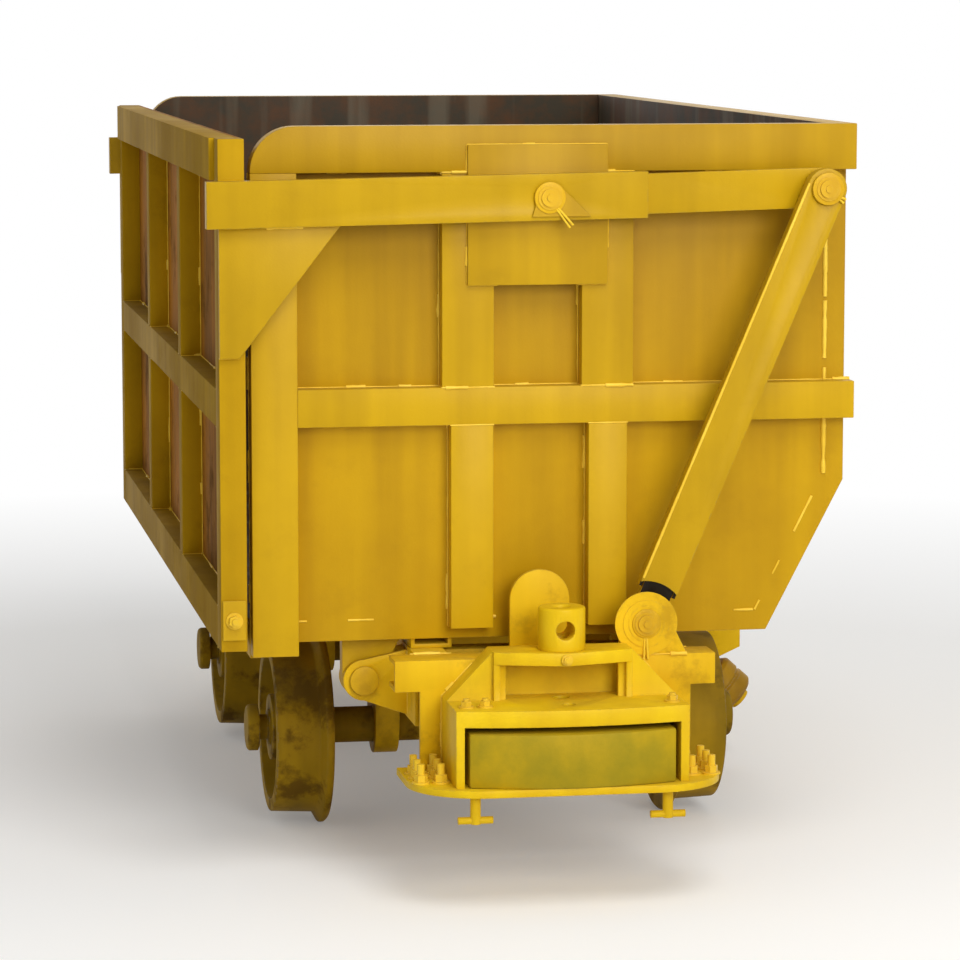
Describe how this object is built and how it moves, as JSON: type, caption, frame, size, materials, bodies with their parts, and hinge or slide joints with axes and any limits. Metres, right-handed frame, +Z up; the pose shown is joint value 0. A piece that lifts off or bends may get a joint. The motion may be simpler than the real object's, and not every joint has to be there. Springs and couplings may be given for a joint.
{
  "type": "side dump ore cart",
  "caption": "Narrow gauge mine car on two flanged wheelsets; its ribbed tub tips to one side and a lever-hung side door swings out as it tips.",
  "frame": {"origin": "on the floor under the middle of the wheelbase, level with the lowest point of the wheel flanges; the rail top is 25 mm higher", "axes": "+X across the track, away from the door; +Y along the track, the front end is at -Y; +Z up"},
  "size_m": [1.3298, 2.88, 1.46],
  "materials": {
    "yellow_paint": "gloss enamel, dusty and worn",
    "tub_sheet": "painted plate, bare and scoured on the load side",
    "wheel_steel": "overpainted casting under brown dust",
    "worn_steel": "paint rubbed to grey steel in the middle"
  },
  "bodies": {
    "frame": {"sills": "yellow_paint", "cross_beams": "yellow_paint", "axle_bearings": "wheel_steel", "headstocks": "yellow_paint", "coupler_housings": "yellow_paint", "pin_sockets": "yellow_paint", "buffer_heads": "worn_steel", "buffer_shelves": "yellow_paint", "drop_pins": "yellow_paint", "end_lugs": "yellow_paint", "hinge_ears": "yellow_paint", "hinge_pins": "yellow_paint", "link_ears": "yellow_paint", "link_pins": "yellow_paint"},
    "wheelset_front": {"wheels_front": "wheel_steel", "axle_front": "wheel_steel"},
    "wheelset_rear": {"wheels_rear": "wheel_steel", "axle_rear": "wheel_steel"},
    "tub": {"tub_floor": "tub_sheet", "tub_slope": "tub_sheet", "tub_side": "tub_sheet", "tub_end_walls": "tub_sheet", "top_bands": "yellow_paint", "corner_posts": "yellow_paint", "end_belts": "yellow_paint", "end_uprights": "yellow_paint", "boss_plates": "yellow_paint", "side_belt": "yellow_paint", "side_top_rail": "yellow_paint", "side_uprights": "yellow_paint", "slope_ribs": "yellow_paint", "floor_ribs": "yellow_paint", "floor_bearers": "yellow_paint", "door_lip": "yellow_paint", "hinge_arms": "yellow_paint", "lever_pins": "yellow_paint", "roller_arm": "yellow_paint", "roller_gusset": "yellow_paint"},
    "roller": {"dump_roller": "yellow_paint"},
    "door": {"door_panel": "tub_sheet", "door_posts": "yellow_paint", "door_rails": "yellow_paint", "door_uprights": "yellow_paint", "door_levers": "yellow_paint", "door_gussets": "yellow_paint", "lever_end_pins": "yellow_paint"},
    "links": {"link_rods": "yellow_paint"}
  },
  "joints": [
    {"name": "front_axle_spin", "type": "hinge", "parent": "frame", "child": "wheelset_front", "pos_m": [0, -0.5, 0.2], "axis": [1, 0, 0], "continuous": true},
    {"name": "rear_axle_spin", "type": "hinge", "parent": "frame", "child": "wheelset_rear", "pos_m": [0, 0.5, 0.2], "axis": [1, 0, 0], "continuous": true},
    {"name": "tub_tip", "type": "hinge", "parent": "frame", "child": "tub", "pos_m": [-0.345, 0, 0.392], "axis": [0, -1, 0], "range_deg": [0, 42]},
    {"name": "door_swing", "type": "hinge", "parent": "tub", "child": "door", "pos_m": [-0.006, 0, 1.325], "axis": [0, -1, 0], "range_deg": [-40.74, 0.2]},
    {"name": "link_swing", "type": "hinge", "parent": "frame", "child": "links", "pos_m": [0.174, 0, 0.516], "axis": [0, -1, 0], "range_deg": [-0.2, 47.04]},
    {"name": "roller_spin", "type": "hinge", "parent": "tub", "child": "roller", "pos_m": [0.618, 0, 0.17], "axis": [0.7431, 0, -0.6691], "continuous": true}
  ],
  "couplings": [
    {"joint": "door_swing", "follows": "tub_tip", "ratio": -0.9653},
    {"joint": "link_swing", "follows": "tub_tip", "ratio": 1.1152}
  ]
}
